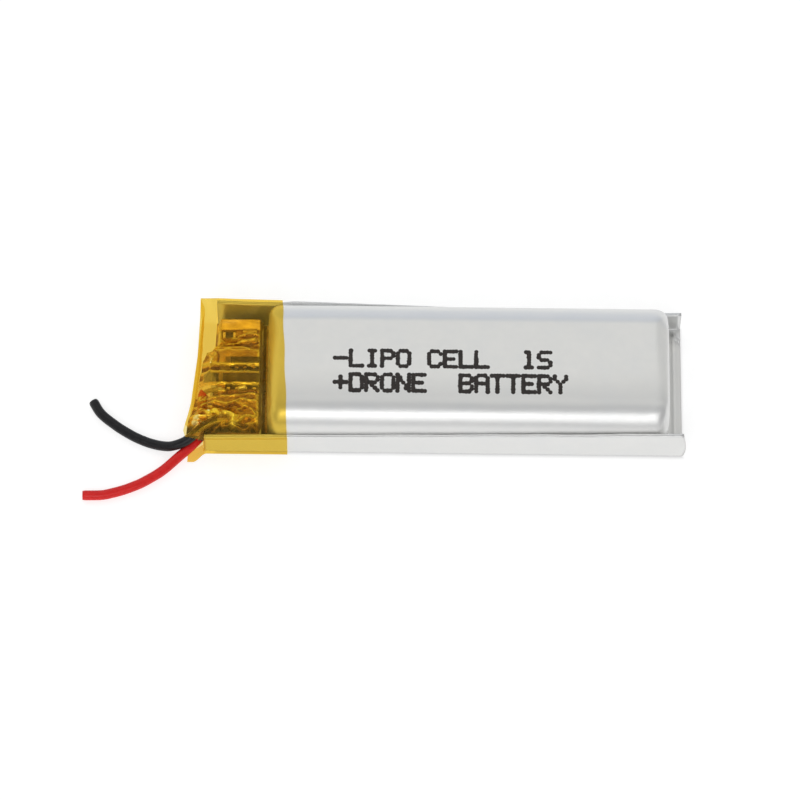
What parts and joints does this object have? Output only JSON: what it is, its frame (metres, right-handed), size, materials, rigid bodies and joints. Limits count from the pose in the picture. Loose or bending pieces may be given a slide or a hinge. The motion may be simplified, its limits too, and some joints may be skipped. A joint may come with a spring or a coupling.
{
  "type": "lipo battery pack",
  "caption": "Slim foil pouch cell with folded side flanges, a protection board under amber film at one end and a red and a black lead.",
  "frame": {"origin": "bottom centre of the pack without its leads: mid length, mid width, on the underside of the end tape", "axes": "+X towards the plain tail end, -X towards the board and the leads, +Y towards the taller flange, +Z out of the face with the drawn cup"},
  "size_m": [0.0451, 0.0154, 0.005],
  "materials": {
    "laminate": "satin, nylon-faced aluminium laminate",
    "separator": "white microporous film",
    "cathode": "black oxide coating on aluminium foil",
    "anode": "graphite coating on copper foil",
    "roll_tape": "thin green film",
    "aluminium_tab": "plain rolled",
    "nickel": "bright nickel",
    "sealant": "black heat-seal film",
    "paper": "insulating paper",
    "board": "pale solder mask on glass-filled board",
    "chip": "moulded black epoxy",
    "capacitor": "tan ceramic",
    "solder": "bright solder",
    "tinned_copper": "tinned strands",
    "black_insulation": "soft satin insulation",
    "red_insulation": "soft satin insulation",
    "amber_wrap": "crumpled translucent amber film",
    "amber_film": "translucent amber film"
  },
  "bodies": {
    "root": {"pouch_cup": "laminate", "pouch_cover": "laminate", "inner_separator": "separator", "outer_separator": "separator", "cathode_strip": "cathode", "anode_strip": "anode", "roll_end_tape": "roll_tape", "positive_tab": "aluminium_tab", "negative_tab": "nickel", "positive_tab_sealant": "sealant", "negative_tab_sealant": "sealant", "insulating_paper": "paper", "positive_pad": "nickel", "negative_pad": "nickel", "protection_board": "board", "protection_ic": "chip", "dual_mosfet": "chip", "filter_resistor": "chip", "sense_resistor": "chip", "filter_capacitor": "capacitor", "positive_solder": "solder", "negative_solder": "solder", "black_lead": "black_insulation", "black_lead_strands": "tinned_copper", "red_lead": "red_insulation", "red_lead_strands": "tinned_copper", "board_wrap_tape": "amber_wrap", "end_tape": "amber_film"}
  },
  "joints": []
}
